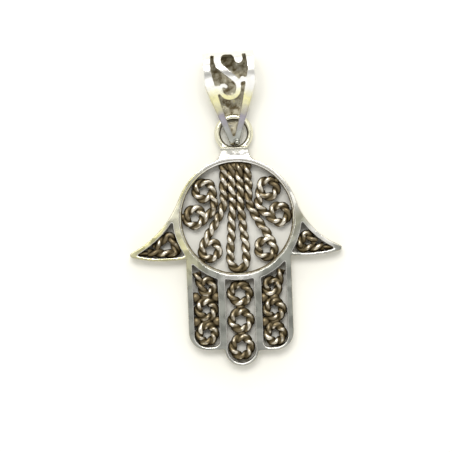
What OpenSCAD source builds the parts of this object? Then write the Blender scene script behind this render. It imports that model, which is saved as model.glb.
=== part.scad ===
// Open hand pendant: a cast silver frame filled with twisted wire, hung from a scrolled bail.
// It lies on its back: +Z is up, the face looks up, and the bail points along +Y.

/* [Palm] */
// Radius of the round opening in the palm
palm_r = 7.2; // [7:0.05:8]
// Width of the rim at the top of the palm, beside the ring
rim_top_w = 0.65; // [0.5:0.05:1]
// Width of the rim at the bottom of the palm
rim_bottom_w = 1.05; // [0.9:0.05:1.2]
// Thickness of the frame from its back to its face
frame_t = 2; // [1.6:0.05:3]
// Width of the low lip that runs round the palm opening
lip_w = 0.28; // [0.15:0.01:0.4]
// How far the lip lies below the face
lip_drop = 0.3; // [0.1:0.05:0.6]

/* [Thumbs] */
// How far the left thumb's tip reaches from the middle of the palm
thumb_reach_left = 14.1; // [13.8:0.05:15.5]
// How far the right thumb's tip reaches from the middle of the palm
thumb_reach_right = 13.5; // [13.3:0.05:15.5]
// How far the thumbs' tips lie below the middle of the palm
thumb_drop = 4.4; // [4.2:0.05:5]
// Radius of a thumb's rounded tip
thumb_tip_r = 0.36; // [0.3:0.02:0.5]
// Radius of the hollow curve along the top of the left thumb
left_hollow_r = 13; // [11:0.5:16]
// Radius of the hollow curve along the top of the right thumb
right_hollow_r = 10; // [9.5:0.5:14]
// Radius of the swelling curve along the bottom of a thumb
thumb_belly_r = 15; // [12:0.5:20]
// Width of the rail along the top of a thumb
thumb_rail_w = 0.62; // [0.45:0.01:0.75]
// Width of the rail along the bottom of a thumb
thumb_floor_w = 0.42; // [0.3:0.01:0.55]

/* [Fingers] */
// Width of the slot in the middle finger
middle_slot_w = 3.72; // [3.5:0.02:4.4]
// Width of the slots in the outer fingers
side_slot_w = 3.28; // [3.2:0.02:4]
// Width of the bars between the fingers
finger_bar_w = 0.95; // [0.7:0.05:1.3]
// Width of the metal along the outer sides of the fingers
finger_edge_w = 0.74; // [0.5:0.02:1.1]
// Width of the metal round the fingers' tips
finger_tip_w = 0.4; // [0.3:0.02:0.7]
// Distance from the middle of the palm to the top of the middle slot
middle_slot_top = 8.15; // [8.1:0.05:8.3]
// Distance from the middle of the palm to the outer slots and the thumbs' holes
web_r = 8.4; // [8.35:0.05:8.6]
// How far the middle slot's end lies below the middle of the palm
middle_slot_end = 18.9; // [18.7:0.05:21]
// How far the left slot's end lies below the middle of the palm
left_slot_end = 16.7; // [16.6:0.05:18.5]
// How far the right slot's end lies below the middle of the palm
right_slot_end = 17; // [16.6:0.05:18.5]

/* [Twisted wire] */
// Diameter of the twisted wire, over both strands
rope_d = 1; // [0.8:0.01:1.02]
// Length in which the strands go once round each other
rope_pitch = 2.7; // [2.2:0.1:3.6]
// Gap between a wire and whatever lies beside it
wire_gap = 0.06; // [0.04:0.01:0.1]
// Radius of the palm's curls, at the middle of the wire
curl_r = 1.1; // [1.08:0.01:1.15]
// Radius of the bend at the bottom of the palm's long loop
loop_r = 1.12; // [1:0.01:1.2]
// Radius of the middle finger's rosettes, at the middle of the wire
middle_rosette_r = 1.19; // [1.1:0.01:1.2]
// Radius of the outer fingers' rosettes, at the middle of the wire
side_rosette_r = 1.05; // [0.98:0.01:1.06]
// Radius of the curls at the top of the outer fingers
finger_curl_r = 0.84; // [0.8:0.01:0.88]
// How far the right finger's curl lies below its seat against the palm
right_curl_drop = 0.3; // [0:0.05:0.35]
// Gap between a thumb's curl and the three sides of its hole
thumb_curl_gap = 0.08; // [0.06:0.01:0.12]
// Whole turns of the strands round one rosette
rosette_turns = 3; // [2:1:4]

/* [Ring] */
// Radius of the hole in the soldered ring
ring_hole_r = 1.7; // [1.65:0.05:2]
// Diameter of the ring's wire
ring_wire = 0.85; // [0.6:0.05:0.95]
// Height of the lug that carries the ring, above the rim
lug_h = 1.3; // [1.1:0.05:1.7]
// Width of the lug at the ring
lug_w = 3.8; // [3:0.1:4.6]
// Thickness of the lug
lug_t = 1.6; // [1.3:0.05:2]

/* [Bail] */
// Thickness of the bail's strip
bail_wall = 0.65; // [0.5:0.05:0.7]
// Radius inside the bend that a chain runs through
bail_bend_r = 1.9; // [1.85:0.05:2.3]
// Length from the pinch inside the bail to the middle of its bend
bail_l = 9.05; // [8:0.05:9.3]
// Width across the bail's shoulders
bail_w = 6.7; // [6:0.1:7.5]
// Width of the bail's pinched tip
bail_tip_w = 1; // [0.8:0.05:1.1]
// How far the pinch lies inside the ring's top, as the bail drops back
bail_slack = 3.18; // [3.1:0.02:3.3]
// How far the bail leans to the left, in degrees
bail_lean = 2.2; // [0:0.2:4]
// Width of the bail's window where the bend begins
bail_window_w = 4.7; // [4.5:0.05:4.8]
// Width of the scroll at its upper end
scroll_w = 1.2; // [1.05:0.05:1.2]
// Width of the scroll at its hook
scroll_hook_w = 0.6; // [0.5:0.05:0.7]
// Gap between the ring and the bail's back
ring_gap = 0.08; // [0.04:0.01:0.12]

/* [Hidden] */
$fn = 96;

// Colours of the polished silver and of the darker twisted wire
silver = "#cfcdb9";
dark_silver = "#8d8878";

// Overshoot that lets one solid or cut run clean into the next
over = 0.02;

// The rim is a disc set a little below the opening, so it is wider at the bottom
rim_r = palm_r + (rim_top_w + rim_bottom_w) / 2;
rim_drop = (rim_bottom_w - rim_top_w) / 2;
rim_centre = [0, -rim_drop];

// Middle line of an outer finger's slot, and radius of the slot's tighter corner
side_x = middle_slot_w / 2 + finger_bar_w + side_slot_w / 2;
slot_corner_r = 0.8;

// Share of a thumb's reach from its tip back to the lowest point of its swelling curve
belly_back = 0.3;

// Height of the middle of the twisted wires, which are soldered half way up the frame
rope_z = frame_t / 2;
// Distance between two wires laid side by side
lay = rope_d + wire_gap;
// Distance from the middle of a wire to the metal that it lies against
seat = wire_gap + rope_d / 2;
// How far the middle of a wire may lie from the palm's centre
palm_reach = palm_r - seat;

// Where curls rest against the rim, in degrees up from the palm's level line
low_curl_angle = -48.5;
side_curl_angle = 2.5;
high_curl_angle = 41;
// How far the wires wrap round their curls, in degrees
palm_wrap_angle = 264;
finger_wrap_angle = 270;
thumb_wrap_angle = 262;
// How far the lowest rosettes lie above their slots' ends, beyond the wires' gap
middle_lift = 0.3;
side_lift = 0.12;
// Halvings that find the size of a thumb's curl
fit_steps = 20;

// Ring and lug: the ring's hole starts a little above the lug
ring_mid_r = ring_hole_r + ring_wire / 2;
lug_top = rim_r - rim_drop + lug_h;
ring_rise = 0.15;
ring_y = lug_top + ring_rise + ring_hole_r;
ring_z = bail_wall + ring_gap + ring_wire / 2;

// Bail: the front wall slopes up from the pinch, where the two walls meet, to the bend
pinch_y = ring_y + ring_mid_r - bail_slack;
bend_y = pinch_y + bail_l;
bend_z = bail_wall + bail_bend_r;
bail_rise = 2 * atan(bail_bend_r / bail_l);
bail_out_r = bail_bend_r + bail_wall;
bail_tip_drop = 0.55;
bail_tip_y = pinch_y - bail_tip_drop;
bail_top_y = bend_y + bail_out_r;
bail_top_z = bend_z + bail_out_r;
// The widest place lies below the bend, and the shoulders' arcs are centred above it
shoulder_y = bend_y - 0.19 * bail_l;
shoulder_rise = 0.1 * bail_l;
shoulder_r = 0.97 * bail_w;

// The origin is the middle of the whole pendant's outline, on the surface that it lies on
origin_x = (thumb_reach_right - thumb_reach_left) / 2;
origin_y = (bail_top_y - middle_slot_end - finger_tip_w) / 2;

module placed() {
    translate([-origin_x, -origin_y, 0]) children();
}

// Wire routes

// A route is a cord laid taut round pegs. A peg is [x, y, radius, turn, wrap]: turn is 1 where the
// wire goes round it to the left and -1 to the right, and wrap is how far an end goes round it,
// in degrees.
TURN = 3;
function peg_at(p) = [p.x, p.y];
function left_of(heading) = [-sin(heading), cos(heading)];
function touch(p, heading) = peg_at(p) - p[TURN] * p[2] * left_of(heading);

// Heading of the straight run from one peg to the next
function run_heading(p, q) =
    let (way = peg_at(q) - peg_at(p))
    atan2(way.y, way.x) - asin((q[TURN] * q[2] - p[TURN] * p[2]) / norm(way));

// Angle turned from one heading to another, always in the peg's own sense
function swing(from, to, turn) =
    let (left = (to - from) % 360, full = left < 0 ? left + 360 : left)
    turn > 0 ? full : (full == 0 ? 0 : full - 360);

// Pieces of a route: [start, heading, signed radius or 0 where straight, length]
function arc_piece(p, heading, angle) =
    [touch(p, heading), heading, p[TURN] * p[2], p[2] * abs(angle) * PI / 180];
function run_piece(p, q) =
    let (heading = run_heading(p, q), start = touch(p, heading), stop = touch(q, heading))
    [start, heading, 0, norm(stop - start)];

function route(pegs) =
    let (
        last = len(pegs) - 1,
        runs = [for (i = [0 : last - 1]) run_piece(pegs[i], pegs[i + 1])],
        arcs = [for (i = [0 : last]) let (
            p = pegs[i],
            into = i == 0 ? runs[0][1] - p[TURN] * p[4] : runs[i - 1][1],
            angle = i == 0 || i == last ? p[TURN] * p[4] : swing(into, runs[i][1], p[TURN])
        ) arc_piece(p, into, angle)]
    )
    [for (i = [0 : last]) each i < last ? [arcs[i], runs[i]] : [arcs[i]]];

function route_length(pieces, i = 0) =
    i == len(pieces) ? 0 : pieces[i][3] + route_length(pieces, i + 1);

// Place and heading at a distance along a route
function along(pieces, s, i = 0) =
    s > pieces[i][3] && i < len(pieces) - 1
        ? along(pieces, s - pieces[i][3], i + 1)
        : let (piece = pieces[i], r = piece[2], h = piece[1])
            r == 0
                ? [piece[0] + s * [cos(h), sin(h)], h]
                : let (now = h + s / r * 180 / PI)
                    [piece[0] + r * (left_of(h) - left_of(now)), now];

// Twisted wire

// Two strands side by side, as shares of the wire's radius every 45 degrees round the section
lobes = [1, 0.74, 0.5, 0.74, 1, 0.74, 0.5, 0.74];
// Sections in one turn of the strands
steps_per_pitch = 10;

function rope_ring(place, twist) = [
    for (k = [0 : len(lobes) - 1])
        let (
            r = lobes[k] * rope_d / 2,
            angle = twist + k * 360 / len(lobes),
            p = place[0] + r * cos(angle) * left_of(place[1])
        )
        [p.x, p.y, rope_z + r * sin(angle)]
];

// Faces of a tube of rings; an open one gets two flat ends, and a closed one joins up
function tube_faces(rings, sides, closed) = concat(
    [for (i = [0 : rings - (closed ? 1 : 2)], k = [0 : sides - 1])
        let (
            a = i * sides + k,
            b = i * sides + (k + 1) % sides,
            c = ((i + 1) % rings) * sides + k,
            d = ((i + 1) % rings) * sides + (k + 1) % sides
        )
        each [[a, c, b], [b, c, d]]],
    closed ? [] : [
        [for (k = [0 : sides - 1]) k],
        [for (k = [sides - 1 : -1 : 0]) (rings - 1) * sides + k]
    ]
);

module twisted_wire(pegs) {
    pieces = route(pegs);
    total = route_length(pieces);
    steps = ceil(total / rope_pitch * steps_per_pitch);
    rings = [for (i = [0 : steps])
        rope_ring(along(pieces, total * i / steps), -360 * total * i / steps / rope_pitch)];
    color(dark_silver) polyhedron(
        [for (ring = rings) each ring], tube_faces(steps + 1, len(lobes), false), convexity = 8);
}

module rosette(x, y, r) {
    steps = ceil(2 * PI * r / rope_pitch * steps_per_pitch);
    rings = [for (i = [0 : steps - 1])
        let (heading = 360 * i / steps)
        rope_ring([[x, y] - r * left_of(heading), heading], -rosette_turns * heading)];
    color(dark_silver) polyhedron(
        [for (ring = rings) each ring], tube_faces(steps, len(lobes), true), convexity = 8);
}

// Palm: each wire mirrors its partner on the other side, and side is -1 on the left

// A curl that rests against the rim, at an angle up from the palm's level line
function rim_curl(side, angle, turn, wrap) =
    let (r = palm_reach - curl_r)
    [side * r * cos(angle), r * sin(angle), curl_r, turn, wrap];

// Height at which a wire's square end clears the rim
function rim_end(x) = sqrt(pow(palm_r - wire_gap, 2) - pow(abs(x) + rope_d / 2, 2));

// From the top down beside the loop, then out to a curl at the bottom
module palm_scroll(side) {
    x = side * 1.5 * lay;
    bend_r = 0.56 * palm_r;
    bend_top = 0.37 * palm_r;
    placed() twisted_wire([
        [x, rim_end(x), 0, 1, 0],
        [x + side * bend_r, bend_top, bend_r, side, 0],
        rim_curl(side, low_curl_angle, -side, palm_wrap_angle)
    ]);
}

// Down one side of the middle, round the bottom and up again
module palm_loop() {
    x = lay / 2;
    side_r = 1.27 * palm_r;
    side_y = 0.22 * palm_r;
    placed() twisted_wire([
        [-x, rim_end(x), 0, 1, 0],
        [-x - side_r, side_y, side_r, -1, 0],
        [0, loop_r - palm_reach, loop_r, 1, 0],
        [x + side_r, side_y, side_r, -1, 0],
        [x, rim_end(x), 0, 1, 0]
    ]);
}

// Two curls against the rim, joined by a stroke that bows towards the middle
module side_scroll(side) {
    bow = palm_r * [0.61 * side, 0.27];
    bow_r = 0.21 * palm_r;
    placed() twisted_wire([
        rim_curl(side, high_curl_angle, side, palm_wrap_angle),
        [bow.x, bow.y, bow_r, side, 0],
        rim_curl(side, side_curl_angle, side, palm_wrap_angle)
    ]);
}

// Fingers

side_tail_x = side_slot_w / 2 - seat;
tail_x = side_x + side_tail_x;
finger_curl_x = side_x - side_tail_x + finger_curl_r;
finger_curl_y = -sqrt(pow(web_r + seat + finger_curl_r, 2) - pow(finger_curl_x, 2));

// The rosettes of a column share the room between the first and the last evenly
module middle_rosette(i) {
    first = -middle_slot_top - seat - middle_rosette_r;
    last = -middle_slot_end + middle_lift + seat + middle_rosette_r;
    placed() rosette(0, first + (last - first) * i / 2, middle_rosette_r);
}

// An outer finger's column is a curl at the top, a rosette at the slot's end and one midway
module side_rosette(side, i, curl_drop, end) {
    last = -end + side_lift + seat + side_rosette_r;
    above = finger_curl_y - curl_drop - finger_curl_r + side_rosette_r;
    placed() rosette(side * side_x, last + (above - last) * i / 2, side_rosette_r);
}

// A tail along the slot's outer side that ends in a tight curl. The tail leans a little, so its
// square end starts lower than an upright one would.
module finger_curl(side, curl_drop) {
    top = sqrt(pow(web_r + wire_gap, 2) - pow(tail_x - rope_d / 2, 2));
    lean_drop = 0.12 * rope_d;
    placed() twisted_wire([
        [side * (tail_x - wire_gap / 2), -top - lean_drop, 0, 1, 0],
        [side * finger_curl_x, finger_curl_y - curl_drop, finger_curl_r, -side, finger_wrap_angle]
    ]);
}

// Thumbs

// Where circles of two radii round two centres cross, on the side that lies to the left of a to b
function crossing(a, ra, b, rb) =
    let (d = norm(b - a), u = (b - a) / d, s = (ra * ra - rb * rb + d * d) / (2 * d))
    a + s * u + sqrt(ra * ra - s * s) * [-u.y, u.x];

// A thumb is [reach, radius of its hollow curve], and is drawn on the right
left_thumb = [thumb_reach_left, left_hollow_r];
right_thumb = [thumb_reach_right, right_hollow_r];

// Centres of a thumb's round tip, its hollow upper curve and its swelling lower curve
function thumb_tip(thumb) = [thumb[0] - thumb_tip_r, -thumb_drop];
function thumb_hollow(thumb) =
    crossing(rim_centre, rim_r + thumb[1], thumb_tip(thumb), thumb_tip_r + thumb[1]);
function thumb_belly(thumb) =
    let (back = belly_back * thumb[0], r = thumb_belly_r - thumb_tip_r)
    thumb_tip(thumb) + [-back, sqrt(r * r - back * back)];

// The thumb, or with an inset its hole, which stays clear of the palm's rim
module thumb_shape(thumb, top_inset, bottom_inset) {
    tip = thumb_tip(thumb);
    hollow = thumb_hollow(thumb);
    difference() {
        intersection() {
            polygon([rim_centre, hollow, tip, [tip.x, -palm_r], [0, -palm_r]]);
            translate(thumb_belly(thumb)) circle(thumb_belly_r - bottom_inset, $fn = 180);
        }
        translate(hollow) circle(thumb[1] + top_inset, $fn = 180);
    }
}

module thumb_outline(thumb) {
    thumb_shape(thumb, 0, 0);
    translate(thumb_tip(thumb)) circle(thumb_tip_r, $fn = 32);
}

module thumb_hole(thumb) {
    difference() {
        thumb_shape(thumb, thumb_rail_w, thumb_floor_w);
        circle(web_r);
    }
}

// Centre of the circle of radius r that touches the lower rail and the palm's rim in a thumb's hole
function in_the_corner(thumb, r) =
    crossing(thumb_belly(thumb), thumb_belly_r - thumb_floor_w - r, [0, 0], web_r + r);

// Radius of the circle that touches all three sides of the hole, found by halving the span between
// a low and a high guess
function hole_fit(thumb, low, high, steps) =
    let (
        r = (low + high) / 2,
        room = norm(in_the_corner(thumb, r) - thumb_hollow(thumb)) - thumb[1] - thumb_rail_w
    )
    steps == 0 ? r
        : room > r ? hole_fit(thumb, r, high, steps - 1)
        : hole_fit(thumb, low, r, steps - 1);

// A tail along the lower rail from where the hole is as high as the wire, then a curl that fills the
// hole's wide end
module thumb_scroll(side, thumb) {
    floor_r = thumb_belly_r - thumb_floor_w - seat;
    tail = crossing(thumb_hollow(thumb), thumb[1] + thumb_rail_w + seat, thumb_belly(thumb), floor_r);
    fit = hole_fit(thumb, rope_d / 2, 2 * rope_d, fit_steps);
    curl = in_the_corner(thumb, fit);
    curl_r = fit - thumb_curl_gap - rope_d / 2;
    placed() twisted_wire([
        [side * tail.x, tail.y, 0, 1, 0],
        [side * curl.x, curl.y, curl_r, -side, thumb_wrap_angle]
    ]);
}

// Frame

module slot_end(x, w, end) {
    translate([x, -end + w / 2]) circle(w / 2);
}

// A slot whose outer corner is one round sweep and whose inner corner is tighter
module side_slot(side, end) {
    half = side_slot_w / 2;
    round_y = -end + half;
    slot_end(side * side_x, side_slot_w, end);
    translate([side * side_x - half, round_y]) square([side_slot_w, end]);
    mirror([side > 0 ? 0 : 1, 0]) {
        translate([side_x - half + slot_corner_r, -end]) square([half - slot_corner_r, half + over]);
        translate([side_x - half, -end + slot_corner_r]) square([half, half]);
        translate([side_x - half + slot_corner_r, -end + slot_corner_r]) circle(slot_corner_r);
    }
}

module side_finger(side, end) {
    r = side_slot_w / 2 + finger_edge_w;
    y = -end - finger_tip_w + r;
    translate([side * side_x, y]) circle(r);
    translate([side * side_x - r, y]) square([2 * r, -y]);
    translate([side > 0 ? 0 : -side_x, y - r]) square([side_x, r + over]);
}

module hand_outline() {
    middle_r = middle_slot_w / 2 + finger_tip_w;
    translate(rim_centre) circle(rim_r);
    thumb_outline(right_thumb);
    mirror([1, 0]) thumb_outline(left_thumb);
    side_finger(-1, left_slot_end);
    side_finger(1, right_slot_end);
    slot_end(0, 2 * middle_r, middle_slot_end + finger_tip_w);
    translate([-middle_r, middle_r - middle_slot_end - finger_tip_w])
        square([2 * middle_r, middle_slot_end]);
}

module hand_openings() {
    circle(palm_r);
    thumb_hole(right_thumb);
    mirror([1, 0]) thumb_hole(left_thumb);
    difference() {
        union() {
            side_slot(-1, left_slot_end);
            side_slot(1, right_slot_end);
        }
        circle(web_r);
    }
    difference() {
        union() {
            slot_end(0, middle_slot_w, middle_slot_end);
            translate([-middle_slot_w / 2, middle_slot_w / 2 - middle_slot_end])
                square([middle_slot_w, middle_slot_end - middle_slot_w / 2]);
        }
        circle(middle_slot_top);
    }
}

// A saddle with hollow flanks that the ring sits in
module lug() {
    flank_r = lug_h;
    half = lug_w / 2;
    flank = rim_centre + [half + flank_r, sqrt(pow(rim_r + flank_r, 2) - pow(half + flank_r, 2))];
    translate([0, 0, ring_z - lug_t / 2]) linear_extrude(lug_t) difference() {
        polygon([
            rim_centre, flank, [half, flank.y], [half, lug_top],
            [-half, lug_top], [-half, flank.y], [-flank.x, flank.y]
        ]);
        for (side = [-1, 1]) translate([side * flank.x, flank.y]) circle(flank_r);
        circle(palm_r + rim_top_w / 2);
    }
}

module ring() {
    translate([0, ring_y, ring_z])
        rotate_extrude() translate([ring_mid_r, 0]) circle(ring_wire / 2, $fn = 32);
}

module hand_frame() {
    color(silver) placed() {
        difference() {
            linear_extrude(frame_t) difference() {
                hand_outline();
                hand_openings();
            }
            translate([0, 0, frame_t - lip_drop]) cylinder(h = lip_drop + over, r = palm_r + lip_w);
        }
        lug();
        ring();
    }
}

// Bail

// A tear drop seen from the side: a bend, and two straight walls that meet at the lower end.
// It ends at end_y, where its sloping side is start_z high.
module tear_drop(r, end_y, start_z) {
    steep = 90 + bail_rise;
    touch_front = [bend_y, bend_z] + r * [cos(steep), sin(steep)];
    translate([bend_y, bend_z]) circle(r);
    polygon([
        [end_y, bend_z - r], [bend_y, bend_z - r], [bend_y, bend_z], touch_front, [end_y, start_z]
    ]);
}

// Turns a shape drawn in Y and Z into a bar across X
module across(w) {
    rotate([90, 0, 90]) linear_extrude(w, center = true) children();
}

module bail_strip() {
    rise = tan(bail_rise);
    tip_z = bail_wall + bail_wall / cos(bail_rise) - bail_tip_drop * rise;
    across(bail_w + over) difference() {
        tear_drop(bail_out_r, bail_tip_y, tip_z);
        tear_drop(bail_bend_r, pinch_y, bail_wall);
    }
}

module bail_outline() {
    half = bail_w / 2;
    polygon([
        [-bail_tip_w / 2, bail_tip_y], [bail_tip_w / 2, bail_tip_y],
        [half, shoulder_y], [-half, shoulder_y]
    ]);
    intersection() {
        for (side = [-1, 1]) translate([side * (half - shoulder_r), shoulder_y + shoulder_rise])
            circle(shoulder_r);
        translate([-half, shoulder_y]) square([bail_w, bail_top_y]);
    }
}

// The window narrows to a point above the tip, with a knee on each side, and runs up into the bend
module bail_window() {
    half = bail_window_w / 2;
    top_half = 0.95 * half;
    knee_half = 0.48 * half;
    low = pinch_y + 0.045 * bail_l;
    knee = pinch_y + 0.45 * bail_l;
    top = bend_y + 0.8 * bail_out_r;
    polygon([
        [0, low], [knee_half, knee], [half, bend_y], [top_half, top],
        [-top_half, top], [-half, bend_y], [-knee_half, knee]
    ]);
}

// Points round one end of a strip, clockwise from the side that faces the first angle
function round_end(centre, w, first) =
    [for (turn = [30 : 30 : 150]) centre + w / 2 * [cos(first - turn), sin(first - turn)]];

// A strip drawn along a route, which widens from its start to its end and has round ends
module band(pegs, start_w, end_w, steps = 48) {
    pieces = route(pegs);
    total = route_length(pieces);
    line = [for (i = [0 : steps]) along(pieces, total * i / steps)];
    half_w = [for (i = [0 : steps]) (start_w + (end_w - start_w) * i / steps) / 2];
    polygon(concat(
        [for (i = [0 : steps]) line[i][0] + half_w[i] * left_of(line[i][1])],
        round_end(line[steps][0], end_w, line[steps][1] + 90),
        [for (i = [steps : -1 : 0]) line[i][0] - half_w[i] * left_of(line[i][1])],
        round_end(line[0][0], start_w, line[0][1] - 90)
    ));
}

// An S: a small hook and a tall bowl between the rails, a sloping stroke, and an arch that runs over
// the bend and comes down again on the right. Two drops of solder hold the bowl to the rails.
module bail_scroll() {
    function place(across, up) = [across * bail_window_w, bend_y + up * bail_l];
    bowl_r = 0.251 * bail_window_w;
    bowl_at = place(-0.028, -0.256);
    waist_r = 0.238 * bail_window_w;
    waist_at = place(-0.011, -0.226);
    hook_r = 0.085 * bail_window_w;
    hook_at = place(-0.028, -0.25) - [bowl_r - hook_r, 0];
    hook_wrap = 150;
    arch_r = 0.294 * bail_window_w;
    arch_at = place(-0.014, 0.15);
    arch_wrap = 227;
    solder_r = 0.088 * bail_window_w;
    band([
        [hook_at.x, hook_at.y, hook_r, 1, hook_wrap],
        [bowl_at.x, bowl_at.y, bowl_r, 1, 0],
        [waist_at.x, waist_at.y, waist_r, 1, 0],
        [arch_at.x, arch_at.y, arch_r, -1, arch_wrap]
    ], scroll_hook_w, scroll_w);
    for (at = [place(-0.36, -0.248), place(0.353, -0.138)]) translate(at) circle(solder_r, $fn = 32);
}

// Leans the bail about the middle of its ring
module leaned() {
    translate([0, ring_y]) rotate(bail_lean) translate([0, -ring_y]) children();
}

module bail() {
    color(silver) placed() leaned() difference() {
        intersection() {
            bail_strip();
            linear_extrude(bail_top_z + over) bail_outline();
        }
        // Only the front wall is cut: the cut starts between the walls
        intersection() {
            across(bail_w) polygon([
                [pinch_y, bail_wall], [bend_y, bend_z], [bail_top_y + over, bend_z],
                [bail_top_y + over, bail_top_z + over], [pinch_y, bail_top_z + over]
            ]);
            linear_extrude(bail_top_z + over) difference() {
                bail_window();
                bail_scroll();
            }
        }
    }
}

module palm_scroll_left() palm_scroll(-1);
module palm_scroll_right() palm_scroll(1);
module side_scroll_left() side_scroll(-1);
module side_scroll_right() side_scroll(1);
module middle_rosette_1() middle_rosette(0);
module middle_rosette_2() middle_rosette(1);
module middle_rosette_3() middle_rosette(2);
module left_finger_curl() finger_curl(-1, 0);
module left_rosette_1() side_rosette(-1, 1, 0, left_slot_end);
module left_rosette_2() side_rosette(-1, 0, 0, left_slot_end);
module right_finger_curl() finger_curl(1, right_curl_drop);
module right_rosette_1() side_rosette(1, 1, right_curl_drop, right_slot_end);
module right_rosette_2() side_rosette(1, 0, right_curl_drop, right_slot_end);
module thumb_scroll_left() thumb_scroll(-1, left_thumb);
module thumb_scroll_right() thumb_scroll(1, right_thumb);

hand_frame();
bail();
palm_scroll_left();
palm_scroll_right();
palm_loop();
side_scroll_left();
side_scroll_right();
middle_rosette_1();
middle_rosette_2();
middle_rosette_3();
left_finger_curl();
left_rosette_1();
left_rosette_2();
right_finger_curl();
right_rosette_1();
right_rosette_2();
thumb_scroll_left();
thumb_scroll_right();
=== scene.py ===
"""A silver open-hand pendant with twisted wire in its palm and fingers, lying on its back."""

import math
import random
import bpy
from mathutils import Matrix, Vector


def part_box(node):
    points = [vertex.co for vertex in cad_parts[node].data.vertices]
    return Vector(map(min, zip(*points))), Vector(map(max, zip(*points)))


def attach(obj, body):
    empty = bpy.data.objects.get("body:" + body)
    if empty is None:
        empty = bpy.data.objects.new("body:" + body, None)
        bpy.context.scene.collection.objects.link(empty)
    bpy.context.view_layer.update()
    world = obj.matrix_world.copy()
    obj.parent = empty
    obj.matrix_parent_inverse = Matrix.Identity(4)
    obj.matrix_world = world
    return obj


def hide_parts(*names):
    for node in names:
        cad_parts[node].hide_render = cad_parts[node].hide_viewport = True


bl_info = {
    "name": "Open-hand wire pendant",
    "version": (1, 0, 0),
    "blender": (4, 5, 0),
    "location": "3D View > Sidebar > Pendant",
    "description": "Models the finished surfaces of a silver hand pendant with twisted wire inside",
    "category": "Object",
}

from collections import namedtuple

import bpy
from bpy.props import FloatProperty, FloatVectorProperty, IntProperty, PointerProperty
from mathutils import Vector

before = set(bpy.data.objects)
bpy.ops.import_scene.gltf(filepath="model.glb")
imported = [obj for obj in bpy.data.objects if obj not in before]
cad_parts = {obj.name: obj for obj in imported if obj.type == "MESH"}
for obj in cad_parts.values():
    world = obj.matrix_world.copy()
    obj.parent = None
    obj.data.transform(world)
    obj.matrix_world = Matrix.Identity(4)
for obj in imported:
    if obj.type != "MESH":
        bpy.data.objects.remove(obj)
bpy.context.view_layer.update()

MM = 0.001
# Points closer together than this are one point
MERGE = 0.001 * MM
# Edges of a wire that are sharper than this stay sharp
SHARP = math.radians(50)
FRAME_LOW, FRAME_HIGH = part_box("hand_frame")
BAIL_LOW, BAIL_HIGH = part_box("bail")


def linear(hex_colour):
    """Linear RGBA of an sRGB hex colour."""
    parts = [int(hex_colour[i:i + 2], 16) / 255 for i in (1, 3, 5)]
    return (*[c / 12.92 if c <= 0.04045 else ((c + 0.055) / 1.055) ** 2.4 for c in parts], 1.0)


def length(name, description, millimetres):
    """A length property, with its default in millimetres."""
    return FloatProperty(
        name=name, description=description, default=millimetres * MM, unit="LENGTH", precision=6)


def angle(name, description, degrees):
    """An angle property, with its default in degrees."""
    return FloatProperty(
        name=name, description=description, default=math.radians(degrees), subtype="ANGLE")


def colour(name, description, hex_colour):
    """A colour property, with its default as an sRGB hex value."""
    return FloatVectorProperty(
        name=name, description=description, default=linear(hex_colour), size=4, subtype="COLOR",
        min=0, max=1)


class HandSizes(bpy.types.PropertyGroup):
    """Sizes of the cast hand"""

    palm_r: length("Palm opening", "Radius of the round opening in the palm", 7.2)
    web_r: length("Web", "From the palm's middle to the outer slots and the thumbs' holes", 8.4)
    lip_w: length("Lip", "Width of the low lip round the palm opening", 0.28)
    reach_left: length("Left reach", "From the palm's middle to the left thumb's tip", 14.1)
    reach_right: length("Right reach", "From the palm's middle to the right thumb's tip", 13.5)
    thumb_drop: length("Thumb drop", "How far the thumbs' tips lie below the palm's middle", 4.4)
    tip_r: length("Thumb tip", "Radius of a thumb's rounded tip", 0.36)
    rim_top_w: length("Rim, top", "Width of the rim at the top of the palm", 0.65)
    rim_bottom_w: length("Rim, bottom", "Width of the rim at the bottom of the palm", 1.05)
    hollow_left: length("Left hollow", "Radius of the curve along the top of the left thumb", 13)
    hollow_right: length("Right hollow", "Radius of the curve along the top of the right thumb", 10)
    belly_r: length("Belly", "Radius of the curve along the bottom of a thumb", 15)
    rail_w: length("Thumb rail", "Width of the rail along the top of a thumb", 0.62)
    floor_w: length("Thumb floor", "Width of the rail along the bottom of a thumb", 0.42)
    slot_w: length("Middle slot", "Width of the slot in the middle finger", 3.72)
    side_slot_w: length("Outer slots", "Width of the slots in the outer fingers", 3.28)
    bar_w: length("Finger bar", "Width of the bars between the fingers", 0.95)
    lug_h: length("Lug", "Height of the hand-filed lug above the rim", 1.2)
    ring_hole_r: length("Ring", "Radius of the hole in the soldered ring", 1.7)
    ring_wire: length("Ring wire", "Diameter of the ring's wire", 0.85)
    tip_w: length("Finger tip", "Width of the metal round the fingers' tips", 0.4)
    slot_top: length("Middle slot top", "From the palm's middle to the top of the middle slot", 8.15)
    slot_end: length("Middle slot end", "From the palm's middle to the middle slot's end", 18.9)
    left_end: length("Left slot end", "From the palm's middle to the left slot's end", 16.7)
    right_end: length("Right slot end", "From the palm's middle to the right slot's end", 17)
    skin: length("Skin", "Spacing of the even skin that a cast piece is given before it is rubbed", 0.1)
    rubs: IntProperty(
        name="Rubs", description="How many times the casting's edges are rubbed down", default=5)


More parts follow.
